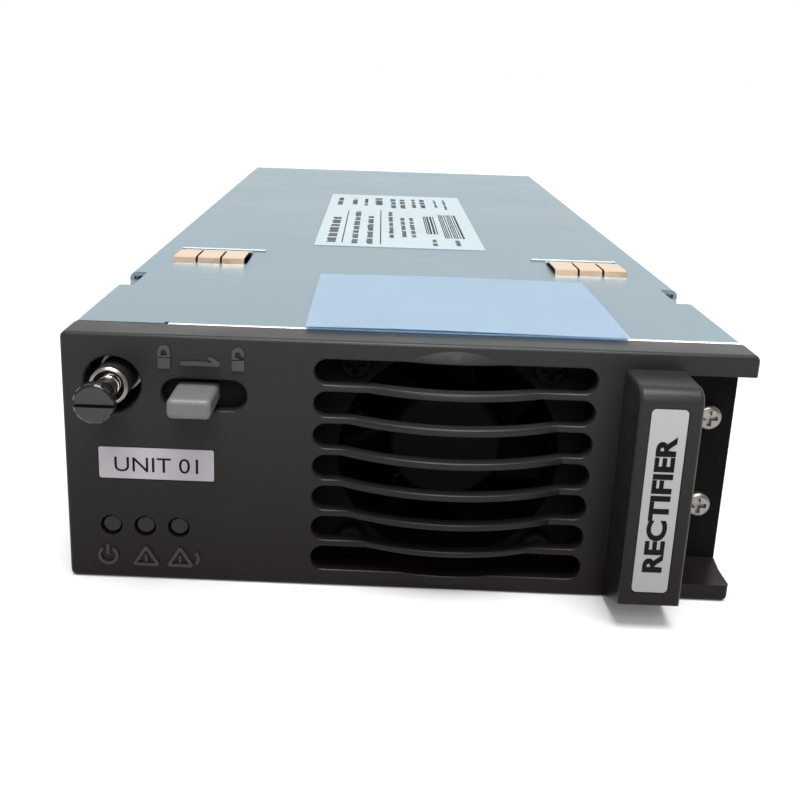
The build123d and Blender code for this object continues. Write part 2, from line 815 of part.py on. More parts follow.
def screw_knob():
    """Black knob: a fluted disc with a driver slot, on a tapered neck."""
    disc = rod_y(screw_x, (knob_front, knob_back), screw_z, knob_radius)
    disc = fillet(disc.edges().filter_by(GeomType.CIRCLE), knob_round)
    reach = knob_radius + flute_shift
    for i in range(flute_count):
        turn = 2 * math.pi * i / flute_count
        disc -= rod_y(screw_x + reach * math.cos(turn), (knob_front - 1, knob_back + 1),
                      screw_z + reach * math.sin(turn), flute_radius)
    slot_width, slot_depth = knob_slot
    disc -= Pos(screw_x, knob_front, screw_z) * Box(2 * knob_radius, 2 * slot_depth, slot_width)
    cone_end = knob_back + knob_cone
    neck = cone_y(screw_x, (knob_back, cone_end), screw_z, knob_root, neck_radius)
    neck += rod_y(screw_x, (cone_end, neck_end), screw_z, neck_radius)
    return disc + neck - rod_y(screw_x, (knob_front + shank_start, neck_end + 1), screw_z,
                               shank_radius)


def thrust_washer():
    """Washer between the turning knob and the spring; it slides but doesn't turn."""
    ring = rod_y(screw_x, (neck_end, washer_back), screw_z, washer_radius)
    return ring - rod_y(screw_x, (neck_end - 1, washer_back + 1), screw_z,
                        shank_radius + running_gap)


def screw_spring():
    """Spring that pushes the screw out."""
    shape = coil(spring_radius, spring_wire, spring_turns, shoulder - washer_back)
    return Pos(screw_x, washer_back, screw_z) * Rot(-90, 0, 0) * shape


# ---- Indicators ----
lamp_board_front = frame_front - lamp_board_size[2]
led_front = lamp_board_front - lamp_body_size[1]


def light_pipes():
    """Three clear pipes that carry each indicator's light to the face."""
    overhang, collar = lamp_rim
    pipes = []
    for x in lamp_places():
        pipe = rod_y(x, (front + lamp_setback, led_front), lamp_height, lamp_radius - lamp_fit)
        rim = pipe.edges().filter_by(GeomType.CIRCLE).sort_by(Axis.Y)[0]
        pipe = fillet(rim, lamp_setback)
        pipe += rod_y(x, (front + bezel_wall, front + bezel_wall + collar), lamp_height,
                      lamp_radius + overhang)
        pipes.append(pipe)
    return Compound(children=pipes)


def indicator_leds():
    """Three surface-mounted lamps."""
    width, _, height = lamp_body_size
    lamps = []
    for x in lamp_places():
        lamps.append(block((x - width / 2, x + width / 2), (led_front, lamp_board_front),
                           (lamp_height - height / 2, lamp_height + height / 2)))
    return Compound(children=lamps)


def indicator_board():
    """Small board on the inner frame that carries the lamps."""
    width, height, _ = lamp_board_size
    middle = lamp_places()[1]
    return block((middle - width / 2, middle + width / 2), (lamp_board_front, frame_front),
                 (lamp_height - height / 2, lamp_height + height / 2))


# ---- Sheet metal ----
dimple_middle = front + dimple_start + dimple_length / 2
dimple_z = case_height - dimple_screw_drop


def dimple(grow, low, high):
    """Tapered pocket pressed into the right side, grown on every side by a wall."""
    start = front + dimple_start
    end = start + dimple_length
    inside = right - dimple_depth - grow
    outline = [
        (right + 1, start - grow, low),
        (right - grow, start - grow, low),
        (inside, start + dimple_ramp - grow, low),
        (inside, end - dimple_ramp + grow, low),
        (right - grow, end + grow, low),
        (right + 1, end + grow, low),
    ]
    return prism(outline, (0, 0, high - low))


def cover_flange_right():
    """Right half of the cover: half the top with one side folded down."""
    start = metal_front
    top = block((0, right), (start, back), (ceiling, case_height))
    flap = block((right - sheet, right), (start, back), (flap_low + sheet_gap, case_height))
    half = top + flap
    fold = half.edges().filter_by(Axis.Y).group_by(Axis.Z)[-1].sort_by(Axis.X)[-1]
    half = fillet(fold, bend_radius)
    low = case_height - dimple_height
    ledge = case_height - ledge_drop
    lining = dimple(sheet, low - sheet, ledge) & block((0, right), (front, back), (0, ledge))
    half += lining
    step = block((right - ledge_width - sheet, right - dimple_depth),
                 (front + dimple_start, front + dimple_start + dimple_length),
                 (ledge - sheet, case_height))
    half += step
    half -= dimple(0, low, case_height + 1)
    half -= block((right - ledge_width, right + 1),
                  (front + dimple_start, front + dimple_start + dimple_length),
                  (ledge, case_height + 1))
    hole_radius, hole_inset = ledge_hole
    half -= rod_z(right - ledge_width + hole_inset, dimple_middle, (0, case_height), hole_radius)
    hole = (right - dimple_depth - sheet - 1, right)
    return half - rod_x(hole, dimple_middle, dimple_z, m3_radius + m3_clearance)


def strip_width():
    """Width of the contact fingers of one strip."""
    return finger_count * finger_width + (finger_count - 1) * finger_gap


def strip_starts():
    """Left edge of the left and of the right strip."""
    return left + finger_inset_left, right - finger_inset_right - strip_width()


def top_cover():
    """Top of the case, folded down at the sides, most of the front and the back."""
    half = cover_flange_right()
    cover = half + mirrored(half)
    cover -= block((right - sheet - 1, right + 1), (metal_front - 1, frame_back),
                   (0, ceiling))
    lip_x = left + lip_start
    lip = block((lip_x, right), (metal_front, metal_front + sheet),
                (case_height - cover_lip, case_height))
    cover += lip
    lip_edges = cover.edges().filter_by(Axis.X).group_by(Axis.Z)[-1].sort_by(Axis.Y)
    cover = fillet(lip_edges[0], lip_round)
    cover -= block((left - 1, lip_x), (metal_front - 1, metal_front + lip_setback),
                   (0, case_height + 1))
    notch_width, notch_length = lip_notch
    cover -= block((lip_x - notch_width, lip_x), (metal_front - 1, metal_front + notch_length),
                   (0, case_height + 1))
    lip_reach = rear_screw_x + rear_lip_overrun
    cover += block((-lip_reach, lip_reach), (back - 2 * sheet, back - sheet),
                   (ceiling - rear_lip, ceiling))
    for x in (-rear_screw_x, rear_screw_x):
        cover -= rod_y(x, (back - 3 * sheet, back), case_height - rear_screw_inset, m3_radius)
    finger_end = front + finger_setback + finger_length
    bead_y = finger_end + bead_gap
    for start in strip_starts():
        end = start + strip_width()
        outside_left = start < 0
        bead_start = start - (bead_outside if outside_left else bead_inside)
        bead_end = end + (bead_inside if outside_left else bead_outside)
        bead = block((bead_start, bead_end), (bead_y, bead_y + bead_width),
                     (ceiling, case_height + bead_rise))
        top_edges = bead.edges().filter_by(Axis.X).group_by(Axis.Z)[-1]
        cover += fillet(top_edges, bead_round)
        cover -= block((start + finger_window, end + finger_window),
                       (finger_end - finger_length + finger_crest[0], finger_end - finger_heel),
                       (0, case_height + 1))
    return cover


def chassis_tray():
    """Bottom and sides of the case, stepped in where the cover laps them."""
    base = block((0, right), (metal_front, back), (0, sheet))
    wall = block((right - sheet, right), (metal_front, back), (0, flap_low))
    half = base + wall
    fold = half.edges().filter_by(Axis.Y).group_by(Axis.Z)[0].sort_by(Axis.X)[-1]
    half = fillet(fold, bend_radius)
    half += block((inner_side, right), (metal_front, back), (flap_low - sheet, flap_low))
    half += block((inner_side, right - sheet), (metal_front, back), (flap_low - sheet, ceiling))
    low = case_height - dimple_height
    ledge = case_height - ledge_drop
    lining = dimple(2 * sheet, low - 2 * sheet, ledge - sheet)
    half += lining & block((0, right - sheet), (front, back), (0, case_height))
    half -= dimple(sheet, low - sheet, case_height + 1)
    half -= block((right - 3 * dimple_depth, right + 1),
                  (front + dimple_start - sheet, front + dimple_start + dimple_length + sheet),
                  (ledge - sheet, case_height + 1))
    half -= rod_x((right - 3 * dimple_depth, right), dimple_middle, dimple_z, m3_radius)
    tray = half + mirrored(half)
    tray -= block((inner_side - 1, right + 1), (metal_front - 1, frame_back),
                  (floor, case_height))
    tab_width, tab_reach = right_tab
    tray += block((inner_side - tab_width, right - sheet), (frame_back, frame_back + sheet),
                  (recess_screw_heights[0] - tab_reach, flap_low - sheet))
    screw_x_left, screw_z_left = left_screw_place()
    past, below, above = left_tab
    tray += block((left + sheet, screw_x_left + past), (frame_back, frame_back + sheet),
                  (screw_z_left - below, screw_z_left + above))
    for x, z in frame_screw_places():
        tray -= rod_y(x, (frame_back - 1, frame_back + sheet + 1), z, m25_radius)
    lip_reach = rear_screw_x + rear_lip_overrun
    tray += block((-lip_reach, lip_reach), (back - 2 * sheet, back - sheet), (floor, rear_lip))
    for x in (-rear_screw_x, rear_screw_x):
        tray -= rod_y(x, (back - 3 * sheet, back), rear_screw_height, m3_radius)
    arm_low, arm_high = latch_arm_span()
    window = block((left - 1, left + 2 * sheet), (latch_arm_front() - latch_gap,
                   latch_arm_back() + latch_gap), (arm_low - latch_gap, arm_high + latch_gap))
    return tray - window


def finger_strip(x_first):
    """Springy contact fingers that earth the case to its shelf, joined along the back."""
    y_start = front + finger_setback
    y_end = y_start + finger_length
    base = case_height
    crest_start = y_start + finger_crest[0]
    crest_end = y_end - finger_crest[1]
    crest = base + finger_rise
    crest_low = crest - finger_rise * finger_fall
    profile = [
        (y_start, base),
        (y_start + finger_lead, crest_low),
        (crest_start, crest),
        (crest_end, crest_low),
        (y_end - finger_heel, base + finger_sheet),
        (y_end, base + finger_sheet),
        (y_end, base),
        (y_end - finger_heel - finger_sheet / 2, base),
        (crest_end - finger_sheet / 2, crest_low - finger_sheet),
        (crest_start + finger_sheet / 2, crest - finger_sheet),
        (y_start + finger_lead + finger_sheet, crest_low - finger_sheet),
        (y_start + finger_sheet, base),
    ]
    strip = block((x_first, x_first + strip_width()), (y_end - finger_root, y_end),
                  (base, base + finger_sheet))
    for i in range(finger_count):
        x = x_first + i * (finger_width + finger_gap)
        outline = [(x, y, z) for y, z in profile]
        strip += prism(outline, (finger_width, 0, 0))
    return strip


def rear_panel():
    """Back of the case, with the plug's cut-out and the exhaust slots."""
    panel = block((-inner_side, inner_side), (back - sheet, back), (floor, ceiling))
    through = (back - sheet - 1, back + 1)
    width, _, height = plug_size
    panel -= block((-width / 2 - plug_fit, width / 2 + plug_fit), through,
                   (board_top - plug_fit, board_top + height + plug_fit))
    vent_z = (board_top + height + ceiling) / 2 + 0.3
    for i in range(vent_count):
        x = (i - (vent_count - 1) / 2) * vent_pitch
        if abs(abs(x) - rear_screw_x) > pan_head_radius + vent_width:
            panel -= slot_upright(x, through, vent_z, vent_width, vent_height)
    for x in (-rear_screw_x, rear_screw_x):
        panel -= rod_y(x, through, case_height - rear_screw_inset, m3_radius + m3_clearance)
        panel -= rod_y(x, through, rear_screw_height, m3_radius + m3_clearance)
    return panel


# ---- Screws ----
def frame_screws():
    """Three pan-head screws through the inner frame."""
    return Compound(children=[pan_screw_y(x, z, frame_front, frame_screw_length, 1, small=True)
                              for x, z in frame_screw_places()])


def fan_screws():
    """Four pan-head screws at the corners of the fan."""
    return Compound(children=[pan_screw_y(x, z, frame_front, fan_screw_length, 1)
                              for x, z in fan_screw_places()])


def rear_screws():
    """Four pan-head screws around the rear panel."""
    heights = (rear_screw_height, case_height - rear_screw_inset)
    return Compound(children=[pan_screw_y(x, z, back, rear_screw_length, -1)
                              for x in (-rear_screw_x, rear_screw_x) for z in heights])


def cover_screws():
    """Two low-head screws in the side pockets."""
    seat = right - dimple_depth
    head = rod_x((seat, seat + thin_head_height), dimple_middle, dimple_z, thin_head_radius)
    outer = head.edges().filter_by(GeomType.CIRCLE).sort_by(Axis.X)[-1]
    head = fillet(outer, 0.5)
    drive_wide, drive_long, drive_deep = thin_drive
    for turn in (0, 90):
        head -= (Pos(seat + thin_head_height, dimple_middle, dimple_z) * Rot(turn, 0, 0)
                 * Box(2 * drive_deep, drive_long, drive_wide))
    screw = head + rod_x((seat - cover_screw_length, seat), dimple_middle, dimple_z, m3_radius)
    return Compound(children=[screw, mirrored(screw)])


# ---- Fan ----
fan_front = frame_back
fan_back = fan_front + fan_depth
hub_front = fan_front + hub_clear[0]
hub_back = fan_back - hub_clear[1]
spoke_front = fan_back - spoke_size[1]
shaft_front = hub_front + shaft_setback
bearing_back = fan_back - spoke_size[1] / 2
blade_radius = fan_bore - blade_gap


def fan_frame():
    """Square housing with a round duct, four spokes and the bearing's tube."""
    reach = fan_size / 2
    body = block((grille_x - reach, grille_x + reach), (fan_front, fan_back),
                 (grille_z - reach, grille_z + reach))
    body = fillet(body.edges().filter_by(Axis.Y), fan_corner)
    body -= rod_y(grille_x, (fan_front - 1, fan_back + 1), grille_z, fan_bore)
    for x, z in fan_screw_places():
        body -= rod_y(x, (fan_front - 1, fan_back + 1), z, m3_radius)
    spoke_span = (spoke_front, fan_back)
    body += rod_y(grille_x, spoke_span, grille_z, hub_radius)
    for turn in (45, 135):
        spoke = Box(2 * fan_bore + fan_wall, spoke_size[1], spoke_size[0])
        body += Pos(grille_x, sum(spoke_span) / 2, grille_z) * Rot(0, turn, 0) * spoke
    tube = (hub_front + bearing_setback, bearing_back)
    body += rod_y(grille_x, tube, grille_z, bearing_radius)
    return body - rod_y(grille_x, (hub_front, bearing_back), grille_z, shaft_radius + running_gap)


def fan_blade(turn):
    """One pitched blade between the hub and the duct."""
    depth = hub_back - hub_front
    root = hub_radius - hub_wall / 2
    radial = fan_bore - root
    blade = Box(radial, depth, blade_thickness)
    blade = Pos(root + radial / 2, 0, 0) * Rot(blade_angle, 0, 0) * blade
    blade = Rot(0, turn, 0) * blade
    return Pos(grille_x, (hub_front + hub_back) / 2, grille_z) * blade


def fan_rotor():
    """Hub cup with seven pitched blades."""
    span = (hub_front, hub_back)
    blades = fan_blade(0)
    for i in range(1, blade_count):
        blades += fan_blade(360 * i / blade_count)
    blades &= rod_y(grille_x, span, grille_z, blade_radius)
    cup = rod_y(grille_x, span, grille_z, hub_radius)
    rim = cup.edges().filter_by(GeomType.CIRCLE).sort_by(Axis.Y)[0]
    cup = fillet(rim, hub_round)
    rotor = cup + blades
    rotor -= rod_y(grille_x, (hub_front + hub_face, hub_back + 1), grille_z, hub_radius - hub_wall)
    return rotor - rod_y(grille_x, (shaft_front, hub_back), grille_z, shaft_radius)


def fan_shaft():
    """Steel shaft fixed in the rotor's hub."""
    return rod_y(grille_x, (shaft_front, bearing_back - 2 * running_gap), grille_z, shaft_radius)


# ---- Board ----
def standoff_places():
    """Posts under the corners and the middle of the board."""
    x = board_side - 4.0
    ys = (board_front + 4.0, (board_front + board_back) / 2, board_back - 16.0)
    return [(way * x, y) for way in (-1, 1) for y in ys]


def main_board():
    """Power board on its posts."""
    board = block((-board_side, board_side), (board_front, board_back), (board_height, board_top))
    for x, y in standoff_places():
        board -= rod_z(x, y, (0, case_height), m3_radius + m3_clearance)
    return board


def board_standoffs():
    """Six threaded posts pressed into the tray."""
    posts = []
    for x, y in standoff_places():
        posts.append(ring_z(x, y, (floor, board_height), standoff_radius, m3_radius))
    return Compound(children=posts)


def board_screws():
    """Six screws into the posts."""
    screws = []
    for x, y in standoff_places():
        screw = rod_z(x, y, (board_height - 4.0, board_top), m3_radius)
        screw += rod_z(x, y, (board_top, board_top + pan_head_height), pan_head_radius)
        screws.append(screw)
    return Compound(children=screws)


def insulation_sheet():
    """Insulating film on the tray's floor, holed for the posts."""
    film = block((-board_side, board_side), (board_front, board_back), (floor, floor + insulation))
    for x, y in standoff_places():
        film -= rod_z(x, y, (0, board_height), standoff_radius + 0.3)
    return film


def heatsink_right():
    """Finned aluminium wall beside the board, fins to the outside."""
    outside = board_side - sink_side_gap
    base_left = outside - sink_fin_length - sink_base
    span_y = (front + sink_start, front + sink_start + sink_length)
    sink = block((base_left, base_left + sink_base), span_y, (board_top, board_top + sink_height))
    step = (sink_height - sink_fin) / (sink_fin_count - 1)
    for i in range(sink_fin_count):
        low = board_top + i * step
        sink += block((base_left + sink_base, outside), span_y, (low, low + sink_fin))
    for x, y in standoff_places():
        sink -= rod_z(x, y, (board_top, board_top + pan_head_height + 0.5), pan_head_radius + 0.5)
    return sink


def power_devices_right():
    """Power transistors and diodes clamped to the heatsink, on three legs each."""
    thickness, width, height = device_size
    face = board_side - sink_side_gap - sink_fin_length - sink_base
    leg_thickness, leg_width, leg_height = device_leg
    leg_back = face - device_leg_gap
    start = front + sink_start
    parts = []
    for y in spread([width] * device_count, start, start + sink_length):
        device = block((face - thickness, face), (y - width / 2, y + width / 2),
                       (board_top + leg_height, board_top + leg_height + height))
        for i in (-1, 0, 1):
            leg_y = y + i * width / 3
            device += block((leg_back - leg_thickness, leg_back),
                            (leg_y - leg_width / 2, leg_y + leg_width / 2),
                            (board_top, board_top + leg_height))
        parts.append(device)
    return parts


def middle_row():
    """Y of the pieces down the middle of the board: fuse, filter, chokes, capacitors, core."""
    lengths = [fuse_length / 2, 2 * choke_radius + 2 * winding_thickness,
               2 * choke_radius + 2 * winding_thickness, 2 * cap_radius,
               core_size[1] + 2, 2 * small_cap_radius]
    return spread(lengths, board_front, board_back - plug_size[1] + plug_reach)


def choke_core(x, y):
    """Ring core lying on the board."""
    low = board_top + winding_thickness
    return ring_z(x, y, (low, low + choke_height), choke_radius, choke_bore)


def choke_winding(x, y):
    """Two wound halves around a ring core."""
    low = board_top
    high = board_top + choke_height + 2 * winding_thickness
    outside = ring_z(x, y, (low, high), choke_radius + winding_thickness,
                     choke_bore - winding_thickness)
    reach = 4 * choke_radius
    for way in (0, 90):
        outside -= Pos(x, y, 0) * Rot(0, 0, way) * Box(reach, winding_split, 2 * case_height)
    return outside - choke_core(x, y)


def bulk_capacitors():
    """Two upright mains capacitors."""
    y = middle_row()[3]
    cans = []
    for way in (-1, 1):
        can = rod_z(way * (cap_radius + 1.0), y, (board_top, board_top + cap_height), cap_radius)
        top = can.edges().filter_by(GeomType.CIRCLE).sort_by(Axis.Z)[-1]
        can = fillet(top, 1.0)
        cans.append(can)
    return Compound(children=cans)


def output_capacitors():
    """Four small upright capacitors before the plug."""
    y = middle_row()[5]
    pitch = 2 * small_cap_radius + 1.5
    cans = []
    for i in range(4):
        x = (i - 1.5) * pitch
        can = rod_z(x, y, (board_top, board_top + small_cap_height), small_cap_radius)
        top = can.edges().filter_by(GeomType.CIRCLE).sort_by(Axis.Z)[-1]
        can = fillet(top, 0.6)
        cans.append(can)
    return Compound(children=cans)


def transformer_core():
    """Ferrite frame of the transformer, open on two sides for its winding."""
    width, length, height = core_size
    y = middle_row()[4]
    low = board_top + core_lift
    inside = width / 2 - core_wall
    core = block((-width / 2, width / 2), (y - length / 2, y + length / 2), (low, low + height))
    core -= block((-inside, inside), (y - length, y + length),
                  (low + core_wall, low + height - core_wall))
    return core + rod_z(0, y, (low + 1, low + height - 1), core_leg_radius)


def transformer_winding():
    """Wound bobbin around the core's middle leg."""
    width, _, height = core_size
    y = middle_row()[4]
    low = board_top + core_lift + core_wall
    high = board_top + core_lift + height - core_wall
    outside = width / 2 - core_wall - winding_gap
    return ring_z(0, y, (low, high), outside, core_leg_radius)


def filter_capacitors():
    """Two box capacitors beside the input choke."""
    length, width, height = box_cap_size
    y = middle_row()[1]
    boxes = []
    for way in (-1, 1):
        x = way * (choke_radius + winding_thickness + 1.5 + length / 2)
        box = block((x - length / 2, x + length / 2), (y - width / 2, y + width / 2),
                    (board_top, board_top + height))
        top = box.faces().sort_by(Axis.Z)[-1].edges()
        boxes.append(fillet(top, 0.6))
    return Compound(children=boxes)


def fuse():
    """Glass fuse lying across the board, between its metal caps."""
    y = middle_row()[0]
    z = board_top + fuse_radius + fuse_lift
    inner = fuse_length / 2 - fuse_cap
    return rod_x((-inner, inner), y, z, fuse_radius - fuse_cap_wall)


def fuse_clips():
    """Metal end caps and clips of the fuse."""
    y = middle_row()[0]
    z = board_top + fuse_radius + fuse_lift
    inner = fuse_length / 2 - fuse_cap
    clips = []
    for way in (-1, 1):
        span = sorted((way * inner, way * fuse_length / 2))
        clip = rod_x(span, y, z, fuse_radius)
        middle = way * (fuse_length / 2 - fuse_cap / 2)
        clip += block((middle - fuse_clip / 2, middle + fuse_clip / 2),
                      (y - fuse_radius, y + fuse_radius), (board_top, z))
        clips.append(clip)
    return Compound(children=clips)


def control_board():
    """Upright board with the controller, beside the transformer."""
    thickness, length, height = control_board_size
    y = middle_row()[4]
    return block((control_board_x - thickness / 2, control_board_x + thickness / 2),
                 (y - length / 2, y + length / 2), (board_top, board_top + height))


# ---- Rear plug ----
plug_front = back + plug_reach - plug_size[1]
plug_tip = back + plug_reach
plug_z = board_top + plug_size[2] / 2


def power_places():
    """X of each power blade, from the left."""
    start = -plug_size[0] / 2 + 6.0
    return [start + i * power_pitch for i in range(power_count)]


def pin_places():
    """X and Z of each signal pin."""
    middle = plug_size[0] / 2 - pin_columns * pin_pitch / 2 - 2.0
    places = []
    for i in range(pin_columns):
        for j in range(pin_rows):
            x = middle + (i - (pin_columns - 1) / 2) * pin_pitch
            z = plug_z + (j - (pin_rows - 1) / 2) * pin_pitch
            places.append((x, z))
    return places


def connector_housing():
    """Black body of the rear plug, with a slot for each blade and a hole for each pin."""
    width = plug_size[0] / 2
    body = block((-width, width), (plug_front, plug_tip), (board_top, board_top + plug_size[2]))
    tip = body.faces().sort_by(Axis.Y)[-1].edges()
    body = chamfer(tip, 0.8)
    slot_w, slot_h = blade_slot
    mouth = (plug_tip - contact_depth, plug_tip + 1)
    for x in power_places():
        body -= block((x - slot_w / 2, x + slot_w / 2), mouth,
                      (plug_z - slot_h / 2, plug_z + slot_h / 2))
    for x, z in pin_places():
        body -= block((x - pin_hole / 2, x + pin_hole / 2), mouth,
                      (z - pin_hole / 2, z + pin_hole / 2))
    return body


def power_blades():
    """Copper blades in the plug's slots."""
    thickness, height = power_blade
    blades = []
    for x in power_places():
        blades.append(block((x - thickness / 2, x + thickness / 2),
                            (plug_tip - contact_depth, plug_tip - 1.5),
                            (plug_z - height / 2, plug_z + height / 2)))
    return Compound(children=blades)


def signal_pins():
    """Square pins of the signal block."""
    pins = []
    for x, z in pin_places():
        pins.append(block((x - pin_size / 2, x + pin_size / 2),
                          (plug_tip - contact_depth, plug_tip - 3.0),
                          (z - pin_size / 2, z + pin_size / 2)))
    return Compound(children=pins)


# ---- Labels on the cover ----
def rating_label():
    """Printed label on the cover."""
    width, length = rating_label_size
    start = front + rating_label_start
    return block((-width / 2, width / 2), (start, start + length),
                 (label_face, label_face + top_label_thickness))


def blank_label():
    """Plain film label at the front of the cover."""
    width, length = blank_label_size
    middle = grille_x + blank_label_shift
    start = front + blank_label_start
    return block((middle - width / 2, middle + width / 2), (start, start + length),
                 (label_face, label_face + top_label_thickness))


def main():
    """Write one file for each piece."""
    os.makedirs("parts", exist_ok=True)
    row = middle_row()
    left_devices = [mirrored(device) for device in power_devices_right()]
    pieces = {
        "front_bezel": front_bezel(),
        "handle_label": handle_label(),
        "front_label": front_label(),
        "inner_frame": inner_frame(),
        "top_cover": top_cover(),
        "chassis_tray": chassis_tray(),
        "rear_panel": rear_panel(),
        "rating_label": rating_label(),
        "blank_label": blank_label(),
        "contact_fingers_left": finger_strip(strip_starts()[0]),
        "contact_fingers_right": finger_strip(strip_starts()[1]),
        "frame_screws": frame_screws(),
        "cover_screws": cover_screws(),
        "rear_screws": rear_screws(),
        "slide_button": slide_button(),
        "latch_plate": latch_plate(),
        "latch_spring": latch_spring(),
        "screw_ferrule": screw_ferrule(),
        "captive_screw": captive_screw(),
        "screw_knob": screw_knob(),
        "thrust_washer": thrust_washer(),
        "screw_spring": screw_spring(),
        "light_pipes": light_pipes(),
        "indicator_leds": indicator_leds(),
        "indicator_board": indicator_board(),
        "fan_frame": fan_frame(),
        "fan_rotor": fan_rotor(),
        "fan_shaft": fan_shaft(),
        "fan_screws": fan_screws(),
        "insulation_sheet": insulation_sheet(),
        "main_board": main_board(),
        "board_standoffs": board_standoffs(),
        "board_screws": board_screws(),
        "heatsink_left": mirrored(heatsink_right()),
        "heatsink_right": heatsink_right(),
        "power_devices_left": Compound(children=left_devices),
        "power_devices_right": Compound(children=power_devices_right()),
        "input_choke_core": choke_core(0, row[1]),
        "input_choke_winding": choke_winding(0, row[1]),
        "boost_choke_core": choke_core(0, row[2]),
        "boost_choke_winding": choke_winding(0, row[2]),
        "filter_capacitors": filter_capacitors(),
        "bulk_capacitors": bulk_capacitors(),
        "output_capacitors": output_capacitors(),
        "transformer_core": transformer_core(),
        "transformer_winding": transformer_winding(),
        "fuse": fuse(),
        "fuse_clips": fuse_clips(),
        "control_board": control_board(),
        "connector_housing": connector_housing(),
        "power_blades": power_blades(),
        "signal_pins": signal_pins(),
    }
    for name, piece in pieces.items():
        export_step(piece, f"parts/{name}.step")


main()
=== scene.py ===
import json
import math
import random

import bmesh
import bpy
from mathutils import Euler, Matrix, Vector


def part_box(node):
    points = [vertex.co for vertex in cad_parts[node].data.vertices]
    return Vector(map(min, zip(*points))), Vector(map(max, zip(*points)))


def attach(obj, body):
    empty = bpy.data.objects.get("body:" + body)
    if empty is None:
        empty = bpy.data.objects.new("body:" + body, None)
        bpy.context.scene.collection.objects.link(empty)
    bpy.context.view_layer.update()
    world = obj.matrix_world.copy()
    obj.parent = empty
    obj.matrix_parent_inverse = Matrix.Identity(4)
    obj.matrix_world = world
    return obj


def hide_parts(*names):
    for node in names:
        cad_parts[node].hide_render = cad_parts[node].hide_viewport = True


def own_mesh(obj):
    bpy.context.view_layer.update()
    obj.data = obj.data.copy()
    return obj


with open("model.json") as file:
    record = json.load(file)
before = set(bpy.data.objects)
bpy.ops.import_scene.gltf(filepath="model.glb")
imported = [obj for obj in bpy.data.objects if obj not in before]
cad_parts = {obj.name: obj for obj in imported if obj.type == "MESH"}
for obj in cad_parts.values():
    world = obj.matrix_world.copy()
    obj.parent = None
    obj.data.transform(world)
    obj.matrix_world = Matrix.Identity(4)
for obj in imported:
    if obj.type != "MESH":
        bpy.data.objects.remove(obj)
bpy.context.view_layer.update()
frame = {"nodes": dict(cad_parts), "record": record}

MM = 0.001
RECORD = frame["record"]
SLOTS = {part["node"]: part["material_slot"] for part in RECORD["subparts"]}
BODY_OF = {node: body for body, nodes in RECORD["behaviour"]["bodies"].items() for node in nodes}

# ---- Camera ----
CAMERA_PLACE = (-5.33 * MM, -280.92 * MM, 81.71 * MM)
CAMERA_TURN = (73.59, -1.68, 1.68)  # degrees about X, Y and Z
CAMERA_LENS = 47.23
CAMERA_SENSOR = 36.0
CAMERA_SHIFT = (0.0614, -0.0386)
CAMERA_NEAR = 10.0 * MM

# ---- Front bezel ----
BEZEL_DEPTH = 10.9 * MM  # back of the bezel's hooks to its face
GRILLE_LEFT = 38.0 * MM  # from the left side of the case
GRILLE_RIGHT = 23.0 * MM  # from the right side
GRILLE_LOW = 1.0 * MM  # above the underside
GRILLE_HIGH = 40.0 * MM
GRILLE_BACK = 0.2 * MM  # behind the face
GRILLE_MARGIN = 1.0 * MM  # beside the grille, where flat faces are joined too
WELD = 0.001 * MM
FLAT_ANGLE = math.radians(0.5)  # faces that meet at less than this are joined
RIM_ANGLE = math.radians(45)  # least turn from the face into a slot
RIM_FACING = -0.6  # a rim's face looks this much to the front
WALL_FACING = 0.4  # and its slot's wall no more than this
SLOT_ROUND = 0.35 * MM
SLOT_ROUND_STEPS = 3
SQUARE_FACING = -0.9999  # a face square to the front
CREASE_ANGLE = math.radians(24)
SLIGHT_CREASE_ANGLE = math.radians(7)
ICON_REACH = 37.0 * MM  # the icons lie this near to the left side
ICON_RISE = 0.02 * MM  # and stand at least this far off the face

# ---- Cover ----
# Where the painted highlight of the cover's front fold starts, and how deep it reaches.
LIP_START = 15.0 * MM  # from the left side of the case
LIP_DEPTH = 0.75 * MM

# ---- Print ----
PRINT_DEPTH = 0.06 * MM
INK = 0.03 * MM
CURVE_STEPS = 6
CURVE_EXTRUDE = 0.01  # any thickness: the word is then scaled to PRINT_DEPTH
# node: piece, word, letter height, length, drop from the middle, turn in degrees, weight
FRONT_WORDS = {
    "handle_label": ("handle_word", "RECTIFIER", 3.0 * MM, 21.5 * MM, 0.4 * MM, 90, 0.042),
    "front_label": ("front_word", "UNIT 01", 2.45 * MM, 13.2 * MM, 0.2 * MM, 0, 0.0),
}
# Each stretch is low X, high X, low Y and high Y, as shares of the rating label.
TEXT_LINES = (
    (0.06, 0.12, 0.05, 0.48), (0.21, 0.25, 0.04, 0.62), (0.30, 0.34, 0.04, 0.52),
    (0.44, 0.47, 0.14, 0.62), (0.52, 0.55, 0.16, 0.50), (0.58, 0.61, 0.16, 0.50),
    (0.06, 0.10, 0.74, 0.92), (0.17, 0.21, 0.76, 0.90), (0.26, 0.29, 0.74, 0.92),
    (0.34, 0.40, 0.76, 0.94), (0.46, 0.50, 0.70, 0.92), (0.53, 0.57, 0.70, 0.92),
    (0.62, 0.65, 0.72, 0.93), (0.68, 0.72, 0.72, 0.93), (0.79, 0.81, 0.74, 0.93),
    (0.86, 0.88, 0.70, 0.93), (0.70, 0.73, 0.04, 0.14), (0.84, 0.87, 0.05, 0.13),
)
RULES = ((0.155, 0.162, 0.05, 0.62), (0.385, 0.392, 0.04, 0.64))
BAR_CODES = ((0.68, 0.76, 0.22, 0.54), (0.79, 0.92, 0.16, 0.58))
PRINT_SEED = 7
LETTERS_PER_WORD = (3, 8)
LETTER_WIDTHS = (0.7, 1.1)  # mm, along the line
LETTER_INSETS = (0.0, 0.22)  # share of the line's height
LETTER_GAP = 0.45 * MM
WORD_GAP = 1.3 * MM
CODE_WIDTHS = (0.25, 0.25, 0.5)  # mm
CODE_GAPS = (0.2, 0.35)  # mm

